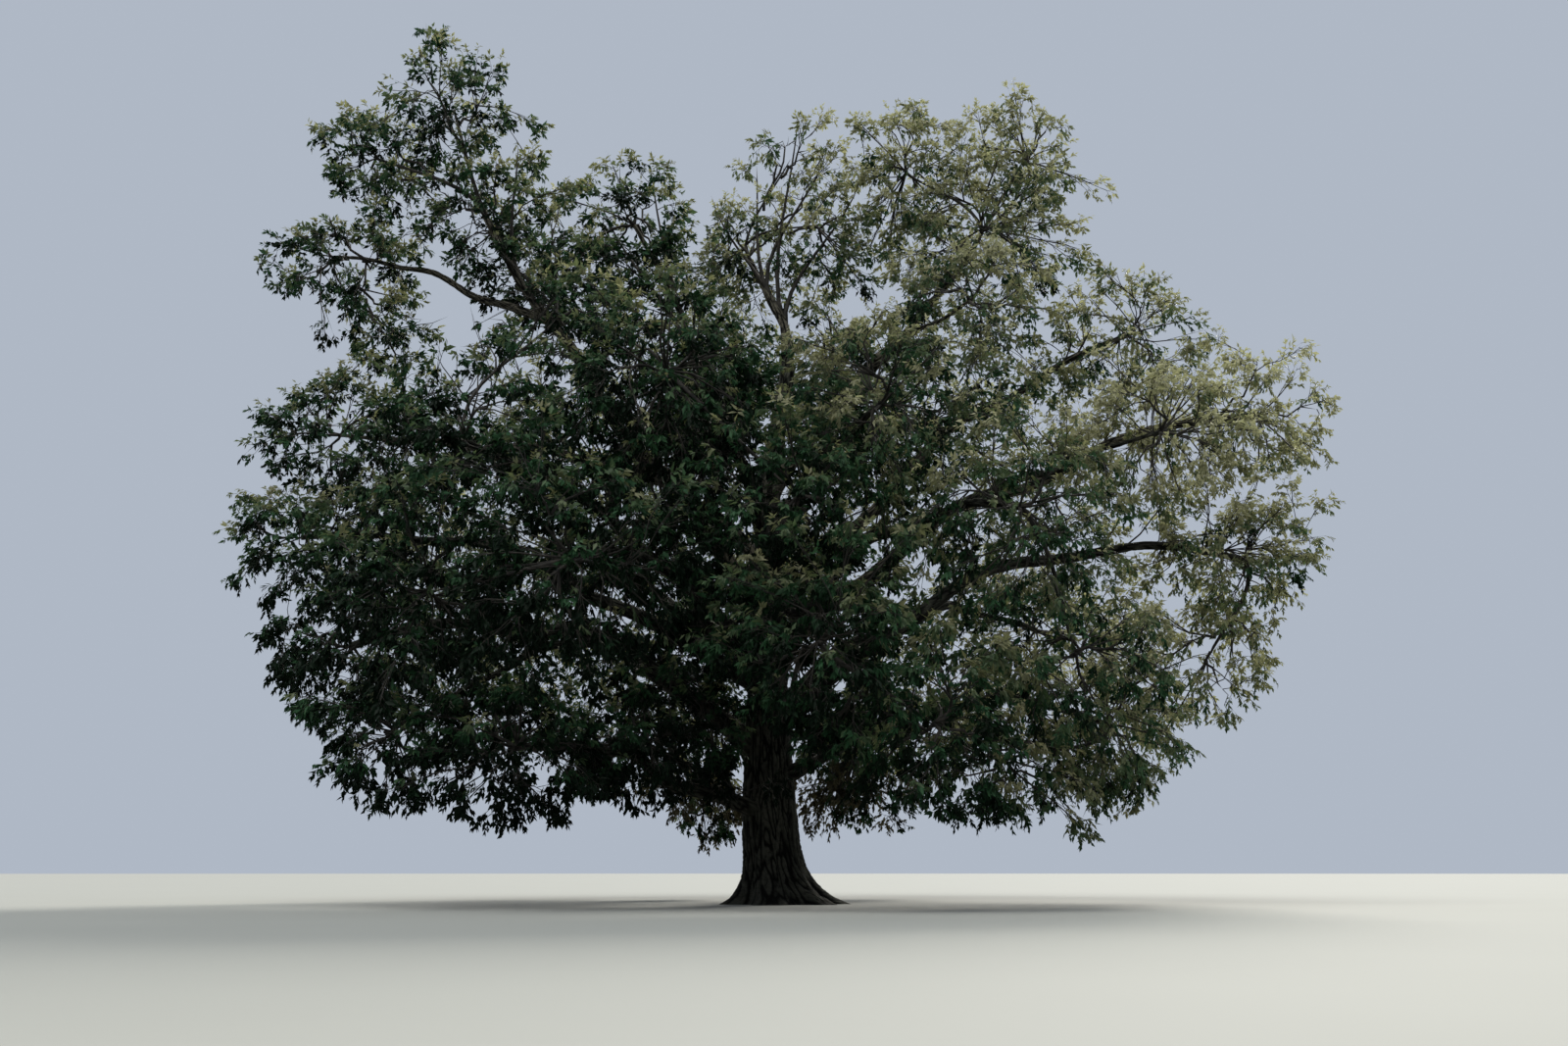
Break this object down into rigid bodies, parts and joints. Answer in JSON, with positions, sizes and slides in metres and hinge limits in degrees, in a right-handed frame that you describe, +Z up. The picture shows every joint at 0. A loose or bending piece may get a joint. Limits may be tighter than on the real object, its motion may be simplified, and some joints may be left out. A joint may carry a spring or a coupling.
{
  "type": "oak tree",
  "caption": "Old open-grown oak in full summer leaf: a short flared trunk, rising and spreading boughs, and a broad crown of drooping foliage with sky at its edges.",
  "frame": {"origin": "middle of the trunk's flat cut at ground level", "axes": "+Z up, +X to the right as seen from the front, and the front faces -Y"},
  "size_m": [30.3619, 24.3346, 23.5571],
  "materials": {
    "bark": "rough furrowed bark",
    "foliage": "matte leaves"
  },
  "bodies": {
    "root": {"bough_back_centre": "bark", "bough_back_left": "bark", "bough_back_left_high": "bark", "bough_back_left_skirt": "bark", "bough_back_right": "bark", "bough_back_right_high": "bark", "bough_back_right_skirt": "bark", "bough_centre_crest": "bark", "bough_front_centre": "bark", "bough_front_left": "bark", "bough_front_left_high": "bark", "bough_front_right": "bark", "bough_front_right_high": "bark", "bough_front_skirt": "bark", "bough_left_arm": "bark", "bough_left_crest": "bark", "bough_left_far": "bark", "bough_left_low": "bark", "bough_left_shoulder": "bark", "bough_left_skirt": "bark", "bough_low_left_skirt": "bark", "bough_mid_left_crest": "bark", "bough_right_crest": "bark", "bough_right_far": "bark", "bough_right_low": "bark", "bough_right_mid": "bark", "bough_right_shoulder": "bark", "bough_right_skirt": "bark", "bough_right_upper_front": "bark", "leaves_back_centre": "foliage", "leaves_back_left": "foliage", "leaves_back_left_high": "foliage", "leaves_back_left_skirt": "foliage", "leaves_back_right": "foliage", "leaves_back_right_high": "foliage", "leaves_back_right_skirt": "foliage", "leaves_centre_crest": "foliage", "leaves_front_centre": "foliage", "leaves_front_left": "foliage", "leaves_front_left_high": "foliage", "leaves_front_right": "foliage", "leaves_front_right_high": "foliage", "leaves_front_skirt": "foliage", "leaves_left_arm": "foliage", "leaves_left_crest": "foliage", "leaves_left_far": "foliage", "leaves_left_low": "foliage", "leaves_left_shoulder": "foliage", "leaves_left_skirt": "foliage", "leaves_low_left_skirt": "foliage", "leaves_mid_left_crest": "foliage", "leaves_right_crest": "foliage", "leaves_right_far": "foliage", "leaves_right_low": "foliage", "leaves_right_mid": "foliage", "leaves_right_shoulder": "foliage", "leaves_right_skirt": "foliage", "leaves_right_upper_front": "foliage", "trunk": "bark"}
  },
  "joints": []
}
